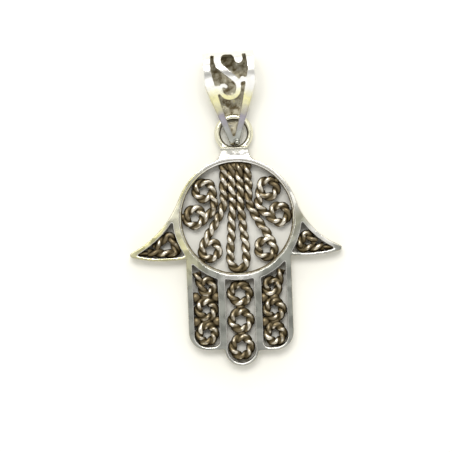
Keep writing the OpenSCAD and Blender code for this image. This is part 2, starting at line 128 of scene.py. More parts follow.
class WireSizes(bpy.types.PropertyGroup):
    """Sizes of the twisted wire"""

    rope_d: length("Wire", "Diameter of the twisted wire, as its route is laid", 1.0)
    strand_d: length("Strand", "Diameter of one strand, pressed into its neighbours", 0.7)
    strand_off: length("Strand offset", "From the wire's middle to the middle of a strand", 0.25)
    pitch: length("Pitch", "Length in which the strands go once round each other", 2.7)
    gap: length("Gap", "Gap between a wire and whatever lies beside it", 0.06)
    curl_r: length("Palm curls", "Radius of the palm's curls, at the middle of the wire", 1.1)
    loop_r: length("Long loop", "Radius of the bend at the bottom of the long loop", 1.12)
    middle_rosette_r: length("Middle rosettes", "Radius of the middle finger's rosettes", 1.19)
    side_rosette_r: length("Outer rosettes", "Radius of the outer fingers' rosettes", 1.05)
    finger_curl_r: length("Finger curls", "Radius of the curls at the top of the outer fingers", 0.84)
    curl_drop: length("Right curl drop", "How much lower the right finger's curl lies", 0.3)
    thumb_bend_r: length("Thumb bends", "Radius of the wire's bends in the thumbs' corners", 0.35)
    thumb_end_h: length("Thumb ends", "How far a thumb wire's end lies above its beginning", 0.75)
    wrap: angle("Wrap", "How far a wire wraps round its curl until its end meets it again", 325)
    wobble: length("Wobble", "How far a hand-laid wire strays from its route", 0.06)
    twist_stray: angle("Twist stray", "How far the strands run ahead of or behind an even twist", 16)
    rosette_turns: IntProperty(
        name="Rosette turns", description="Whole turns of the strands round one rosette", default=3)
    pool_drop: length("Solder, drop", "How far the solder's middle lies below the wires' middle", 0.2)
    pool_h: length("Solder, height", "Half the height of a pool of solder", 0.5)
    strand_sides: IntProperty(name="Strand sides", description="Sides of one round strand", default=16)
    strand_steps: IntProperty(
        name="Strand steps", description="Sections in half a turn of the strands", default=12)


class BailSizes(bpy.types.PropertyGroup):
    """Sizes of the bail"""

    wall: length("Strip", "Thickness of the bail's strip", 0.65)
    bend_r: length("Bend", "Radius inside the bend that a chain runs through", 1.9)
    skin: length("Skin", "Spacing of the even skin that the bail is given before it is rubbed", 0.07)
    rubs: IntProperty(
        name="Rubs", description="How many times the bail's edges are rubbed down", default=12)
    bead_r: length("Bead", "Radius of the solder bead at the tip of the right rail", 0.4)
    bead_x: length("Bead, across", "From the palm's middle line to the bead", 0.4)
    bead_z: length("Bead, height", "Height of the bead's middle above the floor", 1.35)
    tip_drop: length("Tip", "From the bail's lower end to where its walls meet", 0.55)


class SilverFinish(bpy.types.PropertyGroup):
    """Colours of the silver"""

    # Polished silver is also the colour of painted highlights, and the warm and cool tarnish also paint
    # reflection: lighter on the warm face, darker on the grey bars
    polished: colour("Polished silver", "Freshly rubbed sterling silver", "#f8f6ee")
    warm: colour("Warm tarnish", "First straw-yellow tarnish on the face", "#e3dda8")
    cool: colour("Cool tarnish", "Grey tarnish on the finger bars", "#a5a69c")
    oxide: colour("Oxide", "Dark brown oxide left in the recesses", "#665a40")
    brown: colour("Brown patina", "Thin patina between the dark recesses and the crowns", "#7c6f55")
    rubbed: colour("Rubbed wire", "Silver worn bright on the crowns of the wire", "#e9e1ce")
    satin: colour("Satin silver", "Unpolished silver inside the bail", "#b4ae98")
    mauve: colour("Mauve tarnish", "Second tarnish, between straw yellow and grey", "#9c969d")


class StageSizes(bpy.types.PropertyGroup):
    """Floor, light and camera"""

    floor_w: FloatProperty(name="Floor", description="Width of the floor", default=1.2, unit="LENGTH")
    camera_h: length("Camera height", "Height of the camera above the pendant's face", 300)
    seen_w: length("Width seen", "Width of the picture at the height of the face", 58.7)
    seen_x: length("Picture centre, across", "From the palm's middle to the picture's centre", -1.47)
    seen_y: length("Picture centre, along", "From the palm's middle to the picture's centre", -1.05)
    turn: angle("Turn", "How far the hand is turned in the picture", 2.2)
    floor_colour: colour("Floor colour", "Pale matt card", "#faf8ee")
    sky: FloatProperty(name="Room light", description="Brightness of the pale room", default=0.81)
    ceiling: FloatProperty(
        name="Ceiling", description="Brightness straight above the pendant", default=0.42)
    lamp_far: FloatProperty(
        name="Lamp distance", description="From the pendant to each softbox", default=0.7,
        unit="LENGTH")


# Plain helpers


def select_only(piece):
    """Selects one piece and nothing else."""
    bpy.ops.object.select_all(action="DESELECT")
    piece.select_set(True)
    bpy.context.view_layer.objects.active = piece


def edit_all(piece):
    """Opens a piece in edit mode with all of its points selected."""
    select_only(piece)
    bpy.ops.object.mode_set(mode="EDIT")
    bpy.ops.mesh.select_mode(type="VERT")
    bpy.ops.mesh.select_all(action="SELECT")


def edit_done():
    bpy.ops.object.mode_set(mode="OBJECT")


def settle(piece):
    """Puts a piece's place, turn and scale into its mesh."""
    select_only(piece)
    bpy.ops.object.transform_apply(location=True, rotation=True, scale=True)


def modify(piece, kind, **settings):
    """Adds a modifier with its settings and applies it."""
    select_only(piece)
    bpy.ops.object.modifier_add(type=kind)
    modifier = piece.modifiers[-1]
    for name, value in settings.items():
        setattr(modifier, name, value)
    bpy.ops.object.modifier_apply(modifier=modifier.name)


def copy_of_node(node, name):
    """A new piece with a node's mesh, merged and with its flat faces joined again."""
    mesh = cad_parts[node].data.copy()
    mesh.materials.clear()
    piece = bpy.data.objects.new(name, mesh)
    bpy.context.scene.collection.objects.link(piece)
    edit_all(piece)
    bpy.ops.mesh.customdata_custom_splitnormals_clear()
    bpy.ops.mesh.remove_doubles(threshold=MERGE)
    bpy.ops.mesh.dissolve_limited(angle_limit=math.radians(0.5))
    edit_done()
    return piece


# Shallow hollows in a casting, in millimetres, all over it or only at the corners that a test picks
Dents = namedtuple("Dents", "depth spread where", defaults=[None])


def dent(piece, depth, spread, where):
    """Presses hollows into a piece. With a middle level this high they go almost wholly inwards."""
    group = piece.vertex_groups.new(name="dented")
    group.add([v.index for v in piece.data.vertices if where is None or where(v.co)], 1.0, "REPLACE")
    lumps = bpy.data.textures.new("lumps", "CLOUDS")
    lumps.noise_scale = spread
    modify(
        piece, "DISPLACE", texture=lumps, texture_coords="LOCAL", strength=depth, mid_level=0.9,
        vertex_group=group.name)
    piece.vertex_groups.clear()
    bpy.data.textures.remove(lumps)


def rub_down(piece, skin, rubs, dents):
    """Gives a piece one even skin, dents it and rubs its edges soft.

    This is worked in millimetres, because Remesh takes no skin finer than 0.0001."""
    edit_all(piece)
    bpy.ops.transform.resize(value=(1000, 1000, 1000), center_override=(0, 0, 0))
    edit_done()
    modify(piece, "REMESH", mode="VOXEL", voxel_size=skin * 1000)
    for hollows in dents:
        dent(piece, *hollows)
    modify(piece, "SMOOTH", factor=0.5, iterations=rubs)
    edit_all(piece)
    bpy.ops.transform.resize(value=(MM, MM, MM), center_override=(0, 0, 0))
    edit_done()
    bpy.ops.object.shade_smooth()


def stands_for(piece, node):
    """Puts a piece in the place of a node."""
    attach(piece, "root")
    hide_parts(node)


# Materials

# Setting of a Map Range node that eases in and out
EASED = {"interpolation_type": "SMOOTHSTEP"}
# Sockets of a Mix node of colours, by number because its other kinds share their names
FACTOR, FIRST, SECOND, MIXED = 0, 6, 7, 2


def fill_inputs(tree, node, inputs):
    """Sets or links each input that is named or numbered."""
    for name, value in inputs.items():
        if isinstance(value, bpy.types.NodeSocket):
            tree.links.new(value, node.inputs[name])
        else:
            node.inputs[name].default_value = value


def add_node(tree, kind, inputs, output=0, **settings):
    """Adds a node with its settings and its inputs, and returns one of its outputs."""
    node = tree.nodes.new("ShaderNode" + kind)
    for name, value in settings.items():
        setattr(node, name, value)
    fill_inputs(tree, node, inputs)
    return node.outputs[output]


def new_material(name):
    """A material with its tree, its shader and its object coordinates."""
    material = bpy.data.materials.new(name)
    material.use_nodes = True
    tree = material.node_tree
    return material, tree, tree.nodes["Principled BSDF"], add_node(tree, "TexCoord", {}, "Object")


def wander(tree, where, width, swing):
    """A value that strays by up to swing either way, in blotches of one width."""
    blotches = add_node(tree, "TexNoise", {"Vector": where, "Scale": 1 / width})
    return add_node(tree, "MapRange", {"Value": blotches, "To Min": -swing, "To Max": swing})


def in_coats(tree, level, base, coats):
    """A base colour under coats of other colours, each coming on from one level to another."""
    for start, full, coat in coats:
        share = add_node(
            tree, "MapRange", {"Value": level, "From Min": start, "From Max": full}, **EASED)
        base = add_node(
            tree, "Mix", {FACTOR: share, FIRST: base, SECOND: coat}, MIXED, data_type="RGBA")
    return base


def hand_rubbed(tree, where):
    """Height of a hand-rubbed surface: soft hollows, with fine scratches across them."""
    hollows = add_node(tree, "TexNoise", {"Vector": where, "Scale": 1 / (3 * MM), "Detail": 1.0})
    slanted = add_node(
        tree, "Mapping",
        {"Vector": where, "Rotation": (0, 0, math.radians(35)), "Scale": (1.0, 9.0, 1.0)})
    # Real scratches are finer than a hundredth of a millimetre, so these are faint and drawn coarser
    scratches = add_node(tree, "TexNoise", {"Vector": slanted, "Scale": 1 / (0.5 * MM), "Detail": 3.0})
    return add_node(tree, "Math", {0: scratches, 1: 0.07, 2: hollows}, operation="MULTIPLY_ADD")


def tarnish_and_painted_sheen_colour(tree, where, finish, centre, highlight_places):
    """Silver that is straw yellow at the left, grey towards the fingers and bright at the top.

    The yellow and the grey are part tarnish and part painted reflection, lighter at the left and darker
    towards the fingers and the right, and the bright top is a painted highlight. Each listed place gets
    a painted highlight too, as strong as its own shine."""
    place = add_node(tree, "Mapping", {"Vector": where, "Location": (-centre.x, -centre.y, 0)})
    parts = add_node(tree, "SeparateXYZ", {"Vector": place}).node.outputs
    wavy = add_node(
        tree, "Math", {0: parts["Y"], 1: wander(tree, where, 5 * MM, 4 * MM)}, operation="ADD")
    # The two borders run aslant: the yellow reaches lower at the left, the painted highlight at the
    # right
    yellow = add_node(tree, "Math", {0: parts["X"], 1: -0.5, 2: wavy}, operation="MULTIPLY_ADD")
    shiny = add_node(tree, "Math", {0: parts["X"], 1: 0.3, 2: wavy}, operation="MULTIPLY_ADD")
    bright = add_node(
        tree, "MapRange", {"Value": shiny, "From Min": 2.5 * MM, "From Max": 6.5 * MM}, **EASED)
    # The painted highlight is weaker on the lug and the ring than on the palm's rim
    fall = add_node(
        tree, "MapRange",
        {"Value": parts["Y"], "From Min": 8 * MM, "From Max": 10 * MM, "To Min": 1.0, "To Max": 0.45},
        **EASED)
    bright = add_node(tree, "Math", {0: bright, 1: fall}, operation="MULTIPLY")
    # A painted highlight round each listed place
    for point, shine in highlight_places:
        off = add_node(
            tree, "VectorMath", {0: where, 1: (point.x, point.y, FRAME_HIGH.z)}, "Value",
            operation="DISTANCE")
        near = add_node(
            tree, "MapRange",
            {"Value": off, "From Min": 1 * MM, "From Max": 3.5 * MM, "To Min": shine, "To Max": 0.0},
            **EASED)
        bright = add_node(tree, "Math", {0: bright, 1: near}, operation="MAXIMUM")
    # Part tarnish and part painted reflection: lighter where straw yellow, darker where grey
    tarnish = in_coats(tree, yellow, finish.cool, [(-7 * MM, 1 * MM, finish.warm)])
    mottle = add_node(tree, "TexNoise", {"Vector": where, "Scale": 1 / (3.5 * MM), "Detail": 1.5})
    cloud = add_node(
        tree, "MapRange", {"Value": mottle, "From Min": 0.4, "From Max": 0.65, "To Max": 0.4}, **EASED)
    tarnish = add_node(
        tree, "Mix", {FACTOR: cloud, FIRST: tarnish, SECOND: finish.cool}, MIXED, data_type="RGBA")
    return add_node(
        tree, "Mix", {FACTOR: bright, FIRST: tarnish, SECOND: finish.polished}, MIXED,
        data_type="RGBA")


def stain_and_painted_light_level(tree, where, patchy):
    """How stained and shaded a place is: the stored level, clouded so that it comes and goes."""
    stain_and_painted_light = add_node(tree, "Attribute", {}, "Fac", attribute_name="stain_and_painted_light")
    cloud = add_node(
        tree, "TexNoise", {"Vector": where, "Scale": 1 / (0.8 * MM), "Detail": 4.0, "Roughness": 0.6})
    share = add_node(
        tree, "MapRange",
        {"Value": cloud, "From Min": 0.3, "From Max": 0.7, "To Min": 1 - patchy, "To Max": 1 + patchy})
    return add_node(tree, "Math", {0: stain_and_painted_light, 1: share}, operation="MULTIPLY")


def finish_silver(tree, shader, where, face, finish, patchy):
    """Sets up a rubbed silver skin that turns satin, then oxide brown, as its stored level grows; on
    the cast hand that level also carries painted shade.

    Below 0, on edges with a painted highlight that is partly wear, it turns bright instead."""
    level = stain_and_painted_light_level(tree, where, patchy)
    rubs = add_node(tree, "TexNoise", {"Vector": where, "Scale": 1 / (1.5 * MM), "Detail": 1.0})
    rubbed = add_node(
        tree, "MapRange",
        {"Value": rubs, "From Min": 0.3, "From Max": 0.7, "To Min": 0.2, "To Max": 0.34}, **EASED)
    dull = add_node(
        tree, "MapRange", {"Value": level, "From Min": 0.1, "From Max": 0.8, "To Max": 0.25}, **EASED)
    fill_inputs(tree, shader, {
        "Metallic": 1.0,
        "Base Color": in_coats(tree, level, face, [
            (-0.1, -0.4, finish.polished), (0.08, 0.4, finish.satin), (0.4, 1.0, finish.oxide)]),
        "Roughness": add_node(tree, "Math", {0: rubbed, 1: dull}, operation="ADD"),
        "Normal": add_node(
            tree, "Bump",
            {"Height": hand_rubbed(tree, where), "Strength": 0.35, "Distance": 0.03 * MM}),
    })


# Polished cast sterling silver: a soft mirror with fine rub marks, tinted by first tarnish, and with
# dull brown oxide down in the openings where no polishing wheel reached. Its tone also carries
# painted reflection and highlights on the face, and painted shade on the outer walls and edges
def polished_cast_silver(finish, centre, highlight_places):
    material, tree, shader, where = new_material("polished_cast_silver")
    face = tarnish_and_painted_sheen_colour(tree, where, finish, centre, highlight_places)
    finish_silver(tree, shader, where, face, finish, patchy=0.3)
    return material


# Hand-soldered sterling strip: its tone runs from polished at the top through straw yellow and mauve
# to grey at its tip, part tarnish and part painted highlight at the top and painted shade towards the
# tip, with oxide round the scroll
def soldered_strip_silver(finish, tip_y, painted_sheen_y):
    material, tree, shader, where = new_material("soldered_strip_silver")
    along = add_node(tree, "SeparateXYZ", {"Vector": where}, "Y")
    wavy = add_node(
        tree, "Math", {0: along, 1: wander(tree, where, 1.5 * MM, 1.25 * MM)}, operation="ADD")
    # Painted highlight at the top and painted shade towards the tip, with tarnish colours between
    level = add_node(tree, "MapRange", {"Value": wavy, "From Min": tip_y, "From Max": painted_sheen_y})
    face = in_coats(tree, level, finish.cool, [
        (0.15, 0.5, finish.mauve), (0.45, 0.75, finish.warm), (0.75, 1.0, finish.polished)])
    finish_silver(tree, shader, where, face, finish, patchy=0.8)
    return material


# Antiqued sterling wire: oxide stays between the strands, and rubbing brightens their crowns. Its lower
# sides are darker, partly painted shade, and painted shade darkens the wires next to the palm's rim
def antiqued_wire_silver(finish, centre, wire_z):
    material, tree, shader, where = new_material("antiqued_wire_silver")
    parts = add_node(tree, "SeparateXYZ", {"Vector": where}).node.outputs
    # Darker lower down each wire: oxide that rubbing misses and painted shade on the wires' sides
    high = add_node(
        tree, "MapRange",
        {
            "Value": parts["Z"], "From Min": wire_z - 0.2 * MM, "From Max": wire_z + 0.45 * MM,
            "To Min": 0.4,
        }, **EASED)
    crown = add_node(tree, "Attribute", {}, "Fac", attribute_name="crown")
    level = add_node(tree, "Math", {0: crown, 1: high}, operation="MULTIPLY")
    off_palm = add_node(
        tree, "VectorMath", {0: where, 1: (centre.x, centre.y, wire_z)}, "Value", operation="DISTANCE")
    sideways = add_node(tree, "Math", {0: parts["X"], 1: centre.x}, operation="SUBTRACT")
    aside = add_node(tree, "Math", {0: sideways}, operation="ABSOLUTE")
    # Painted shade darkens the wires next to the palm's rim, where it stands over them; those in the
    # slots and thumbs are a little darker too
    for reach, start, end, change in (
            (off_palm, 5.9 * MM, 7 * MM, -0.3),
            (off_palm, 7.3 * MM, 8 * MM, 0.18),
            (aside, 7 * MM, 8.5 * MM, -0.06)):
        rim_shade_and_slot_dimming = add_node(
            tree, "MapRange",
            {"Value": reach, "From Min": start, "From Max": end, "To Max": change}, **EASED)
        level = add_node(tree, "Math", {0: level, 1: rim_shade_and_slot_dimming}, operation="ADD")
    specks = add_node(tree, "TexNoise", {"Vector": where, "Scale": 1 / (0.25 * MM)})
    speckled = add_node(tree, "MapRange", {"Value": specks, "To Min": -0.1, "To Max": 0.1})
    for stray in (wander(tree, where, 0.9 * MM, 0.55), speckled):
        level = add_node(tree, "Math", {0: level, 1: stray}, operation="ADD")
    fill_inputs(tree, shader, {
        "Metallic": 1.0,
        "Base Color": in_coats(
            tree, level, finish.oxide, [(0.15, 0.6, finish.brown), (0.76, 1.04, finish.rubbed)]),
        "Roughness": add_node(
            tree, "MapRange",
            {"Value": level, "From Min": 0.4, "From Max": 1.0, "To Min": 0.5, "To Max": 0.3}, **EASED),
        "Normal": add_node(
            tree, "Bump", {"Height": specks, "Strength": 0.3, "Distance": 0.02 * MM}),
    })
    return material


# Uncoated white card: matt, with only the faintest tooth
def matt_card(card_colour):
    material, tree, shader, where = new_material("matt_white_card")
    tooth = add_node(tree, "TexNoise", {"Vector": where, "Scale": 1 / (0.4 * MM)})
    fill_inputs(tree, shader, {
        "Base Color": card_colour,
        "Roughness": 0.9,
        "Normal": add_node(
            tree, "Bump", {"Height": tooth, "Strength": 0.05, "Distance": 0.02 * MM}),
    })
    return material


# Routes of the twisted wires

# A peg that a wire is laid round: turn is 1 where it goes round to the left and -1 to the right,
# and wrap is how far round it goes where it ends in a curl
Peg = namedtuple("Peg", "x y radius turn wrap", defaults=[0])


def straight_end(x, y):
    """The end of a wire that doesn't curl."""
    return Peg(x, y, radius=0, turn=1)


def left_of(heading):
    """The direction to the left of a heading."""
    return Vector((-math.sin(heading), math.cos(heading)))


def touch(peg, heading):
    """Where a wire with this heading touches a peg."""
    return Vector((peg.x, peg.y)) - peg.turn * peg.radius * left_of(heading)


def run_heading(p, q):
    """Heading of the straight run from one peg to the next."""
    way = Vector((q.x - p.x, q.y - p.y))
    return math.atan2(way.y, way.x) - math.asin((q.turn * q.radius - p.turn * p.radius) / way.length)


def laid_round(pegs, steps_per_turn=96):
    """Corner points of a wire laid taut round its pegs."""
    runs = [run_heading(p, q) for p, q in zip(pegs, pegs[1:])]
    arrive = [runs[0] - pegs[0].turn * pegs[0].wrap] + runs
    leave = runs + [runs[-1] + pegs[-1].turn * pegs[-1].wrap]
    points = []
    for number, peg in enumerate(pegs):
        at_end = number in (0, len(pegs) - 1)
        swing = peg.wrap if at_end else (leave[number] - arrive[number]) * peg.turn % (2 * math.pi)
        steps = max(1, math.ceil(steps_per_turn * swing / (2 * math.pi))) if peg.radius > 0 else 0
        for i in range(steps + 1):
            share = i / steps if steps else 0
            points.append(touch(peg, arrive[number] + peg.turn * swing * share))
    return points


def evenly(points, spacing):
    """The same line with its points spaced evenly."""
    lengths = [(b - a).length for a, b in zip(points, points[1:])]
    total = sum(lengths)
    count = math.ceil(total / spacing)
    line = []
    walked, i = 0.0, 0
    for k in range(count + 1):
        want = total * k / count
        while i < len(lengths) - 1 and walked + lengths[i] < want:
            walked += lengths[i]
            i += 1
        share = (want - walked) / lengths[i] if lengths[i] else 0
        line.append(points[i].lerp(points[i + 1], min(share, 1.0)))
    return line


def ring_points(x, y, radius, steps=72):
    """Corner points of a ring round a place."""
    turns = [2 * math.pi * i / steps for i in range(steps)]
    return [Vector((x + radius * math.cos(a), y + radius * math.sin(a))) for a in turns]


def crossing(a, ra, b, rb):
    """Where circles round a and b cross, on the side that lies to the left of a to b."""
    way = b - a
    d = way.length
    u = way / d
    s = (ra * ra - rb * rb + d * d) / (2 * d)
    return a + s * u + math.sqrt(ra * ra - s * s) * Vector((-u.y, u.x))


def guide_curve(points, height, closed):
    """A curve through the points, for a straight wire to be bent along."""
    data = bpy.data.curves.new("wire_guide", "CURVE")
    data.dimensions = "3D"
    data.twist_mode = "Z_UP"
    spline = data.splines.new("POLY")
    spline.points.add(len(points) - 1)
    for corner, point in zip(spline.points, points):
        corner.co = (point.x, point.y, height, 1)
    spline.use_cyclic_u = closed
    guide = bpy.data.objects.new("wire_guide", data)
    bpy.context.scene.collection.objects.link(guide)
    return guide


def straight_pair(name, half_turn, half_turns, sizes):
    """Two round strands twisted round each other along X, starting at the origin."""
    strand_r = sizes.strand_d / 2
    # A strand slants round the wire, so its upright section is a little taller than wide
    slant = math.hypot(1, math.pi * sizes.strand_off / half_turn)
    bpy.ops.object.select_all(action="DESELECT")
    bpy.ops.mesh.primitive_circle_add(
        vertices=sizes.strand_sides, radius=strand_r, location=(0, sizes.strand_off, 0),
        rotation=(0, math.radians(90), 0))
    piece = bpy.context.object
    piece.name = piece.data.name = name
    settle(piece)
    edit_all(piece)
    bpy.ops.transform.resize(value=(1, 1, slant), center_override=(0, sizes.strand_off, 0))
    bpy.ops.mesh.duplicate()
    bpy.ops.transform.rotate(value=math.pi, orient_axis="X", center_override=(0, 0, 0))
    edit_done()
    modify(
        piece, "SCREW", axis="X", angle=-math.pi, screw_offset=half_turn, steps=sizes.strand_steps,
        render_steps=sizes.strand_steps, use_merge_vertices=False)
    modify(
        piece, "ARRAY", count=half_turns, use_relative_offset=False, use_constant_offset=True,
        constant_offset_displace=(half_turn, 0, 0), use_merge_vertices=True, merge_threshold=MERGE)
    return piece


def mark_crowns(piece, sizes):
    """Stores where each point lies: 0 in the groove between the strands, 1 on a strand's crown."""
    high = sizes.strand_off + sizes.strand_d / 2
    low = math.sqrt((sizes.strand_d / 2) ** 2 - sizes.strand_off ** 2)
    crown = piece.data.attributes.new("crown", "FLOAT", "POINT")
    for vertex, mark in zip(piece.data.vertices, crown.data):
        mark.value = (math.hypot(vertex.co.y, vertex.co.z) - low) / (high - low)


# Lengths of the waves in which the strands stray from their twist, and a wire from its route
TWIST_WAVES = (7 * MM, 4 * MM, 2.5 * MM)
ROUTE_WAVES = (6 * MM, 3.5 * MM)


def hand_stray(seed, total, waves):
    """A smooth random function of a share from 0 to 1, within 1 either way, that closes on itself."""
    draw = random.Random(seed)
    parts = [
        (max(1, round(total / wave)), draw.uniform(0, 2 * math.pi), draw.uniform(0.5, 1))
        for wave in waves]
    whole = sum(size for _, _, size in parts)
    return lambda share: sum(
        size * math.sin(2 * math.pi * count * share + start) for count, start, size in parts) / whole


def stray_twist(piece, total, sizes, seed):
    """Turns each section of a straight wire a little ahead of or behind its even twist."""
    stray = hand_stray(seed, total, TWIST_WAVES)
    for vertex in piece.data.vertices:
        a = sizes.twist_stray * stray(vertex.co.x / total)
        y, z = vertex.co.y, vertex.co.z
        vertex.co.y = y * math.cos(a) - z * math.sin(a)
        vertex.co.z = y * math.sin(a) + z * math.cos(a)


def hand_laid(points, sizes, seed, closed):
    """The same route, strayed from sideways as far as a hand-laid wire does."""
    total = sum((b - a).length for a, b in zip(points, points[1:]))
    stray = hand_stray(seed + " route", total, ROUTE_WAVES)
    line = []
    for number, point in enumerate(points):
        before = points[number - 1] if number or closed else point
        after = points[(number + 1) % len(points)] if number + 1 < len(points) or closed else point
        way = (after - before).normalized()
        line.append(point + sizes.wobble * stray(number / len(points)) * Vector((-way.y, way.x)))
    return line


def twisted_wire(name, points, height, sizes, half_turns=None):
    """A two-strand wire along the points; with a given number of half turns it closes to a ring."""
    closed = half_turns is not None
    points = hand_laid(points, sizes, name, closed)
    corners = points + points[:1] if closed else points
    total = sum((b - a).length for a, b in zip(corners, corners[1:]))
    count = half_turns if closed else max(1, round(2 * total / sizes.pitch))
    piece = straight_pair(name, total / count, count, sizes)
    mark_crowns(piece, sizes)
    stray_twist(piece, total, sizes, name)
    guide = guide_curve(points, height, closed)
    modify(piece, "CURVE", object=guide, deform_axis="POS_X")
    bpy.data.objects.remove(guide)
    edit_all(piece)
    bpy.ops.mesh.remove_doubles(threshold=MERGE * 10)
    if not closed:
        bpy.ops.mesh.select_all(action="DESELECT")
        bpy.ops.mesh.select_non_manifold()
        bpy.ops.mesh.fill_holes(sides=0)
    bpy.ops.mesh.select_all(action="SELECT")
    bpy.ops.mesh.normals_make_consistent(inside=False)
    edit_done()
    bpy.ops.object.shade_smooth_by_angle(angle=SHARP)
    return piece


# Modelling steps

# How bright solder is on the scale of mark_crowns
SOLDER_SHINE = 0.8
# Spacing of the points on the route of an open wire
ROUTE_STEP = 0.12 * MM
# A low pool of solder: its place from the palm's middle, and its radii across and along the hand
Pool = namedtuple("Pool", "x y across along")


def settings():
    """The scene's own settings of the pendant."""
    return bpy.context.scene.pendant


def palm_middle():
    """Middle of the palm, from the frame's box and the sizes that set its edges."""
    hand = settings().hand
    return Vector((FRAME_LOW.x + hand.reach_left, FRAME_LOW.y + hand.slot_end + hand.tip_w))


def wire_height():
    """Height of the wires' middle, which is halfway up the casting."""
    return FRAME_HIGH.z / 2


def placed(points):
    """Points that are given from the palm's middle, put where the palm is."""
    middle = palm_middle()
    return [point + middle for point in points]


def add_solder(piece, pools):
    """Adds low pools of solder to a wire."""
    sizes = settings().wire
    before = len(piece.data.vertices)
    select_only(piece)
    bpy.ops.object.mode_set(mode="EDIT")
    for pool in pools:
        x, y = palm_middle() + Vector((pool.x, pool.y))
        centre = (x, y, wire_height() - sizes.pool_drop)
        bpy.ops.mesh.primitive_ico_sphere_add(subdivisions=3, radius=pool.across, location=centre)
        bpy.ops.transform.resize(
            value=(1, pool.along / pool.across, sizes.pool_h / pool.across), center_override=centre)
    edit_done()
    for mark in piece.data.attributes["crown"].data[before:]:
        mark.value = SOLDER_SHINE
    bpy.ops.object.shade_smooth_by_angle(angle=SHARP)


def finish_wire(name, points, half_turns=None, solder=()):
    """Twists one wire along its route, solders and colours it, and puts it in the place of its node."""
    sizes = settings().wire
    line = placed(points) if half_turns else evenly(placed(points), ROUTE_STEP)
    piece = twisted_wire(name + "_wire", line, wire_height(), sizes, half_turns)
    material = bpy.data.materials.get("antiqued_wire_silver")
    piece.data.materials.append(
        material or antiqued_wire_silver(settings().finish, palm_middle(), wire_height()))
    add_solder(piece, solder)
    stands_for(piece, name)


def lay():
    """Distance between the middles of two wires that lie side by side."""
    wire = settings().wire
    return wire.rope_d + wire.gap


def seat():
    """Distance from a wall to the middle of a wire that lies along it."""
    wire = settings().wire
    return wire.gap + wire.rope_d / 2


def islands(mesh, faces):
    """Groups of faces that hang together by their corners."""
    by_corner = {}
    for face in faces:
        for corner in mesh.polygons[face].vertices:
            by_corner.setdefault(corner, []).append(face)
    groups, left = [], set(faces)
    while left:
        group, found = set(), [left.pop()]
        while found:
            face = found.pop()
            group.add(face)
            for corner in mesh.polygons[face].vertices:
                new = [f for f in by_corner[corner] if f in left]
                left.difference_update(new)
                found.extend(new)
        groups.append(group)
    return groups


def reach_of(mesh, group):
    """How far a group of faces reaches along Y."""
    along = [mesh.vertices[v].co.y for face in group for v in mesh.polygons[face].vertices]
    return max(along) - min(along)


def all_but_longest(mesh, faces):
    """The faces of every group but the one that reaches furthest, which is the outline."""
    groups = sorted(islands(mesh, faces), key=lambda group: reach_of(mesh, group))
    return set().union(*groups[:-1])


def corner_shares(mesh, faces, rounds=2):
    """How much of what lies round each corner is in a set of faces, evened out over a few rounds."""
    count, inside = [0] * len(mesh.vertices), [0] * len(mesh.vertices)
    for face in mesh.polygons:
        for corner in face.vertices:
            count[corner] += 1
            inside[corner] += face.index in faces
    shares = [a / max(1, n) for a, n in zip(inside, count)]
    for _ in range(rounds):
        total, near = list(shares), [1] * len(shares)
        for edge in mesh.edges:
            a, b = edge.vertices
            total[a] += shares[b]
            total[b] += shares[a]
            near[a] += 1
            near[b] += 1
        shares = [t / n for t, n in zip(total, near)]
    return shares


def store_stain_and_painted_light(piece, levels):
    """Stores how stained each point of a casting is, and on the cast hand its painted shade and
    highlights, for its material to read.
    """
    stain_and_painted_light = piece.data.attributes.new("stain_and_painted_light", "FLOAT", "POINT")
    for mark, level in zip(stain_and_painted_light.data, levels):
        mark.value = level


def depth_below(height, start, end):
    """How far down a height lies: 0 above the start, 1 below the end."""
    return max(0.0, min(1.0, (start - height) / (start - end)))


# A face belongs to a wall where its normal's height is less than this
UPRIGHT = 0.5
# A rounded edge lies within this height of the top, and its normal's height lies in this range
EDGE_H, EDGE_LEAN = 0.25 * MM, (0.4, 0.96)
# A point is at an opening where this share or more of what lies round it belongs to one
AT_OPENING = 0.02
# Levels of the cast hand's edges and grooves: the openings' edges get a painted highlight, partly edge
# wear, the outer edges painted shade, and the grooves that a polishing wheel can't reach dark oxide
WORN_EDGE_AND_SHEEN, SHADED_EDGE, GROOVE = -0.6, 0.4, 0.9
# Painted shade on the outer walls, which darkens as they turn from the top, and the oxide level of the
# openings' walls at the top, from where it grows to 1
OUTER_WALL_SHADE, OPENING_TOP = 0.3, 0.4


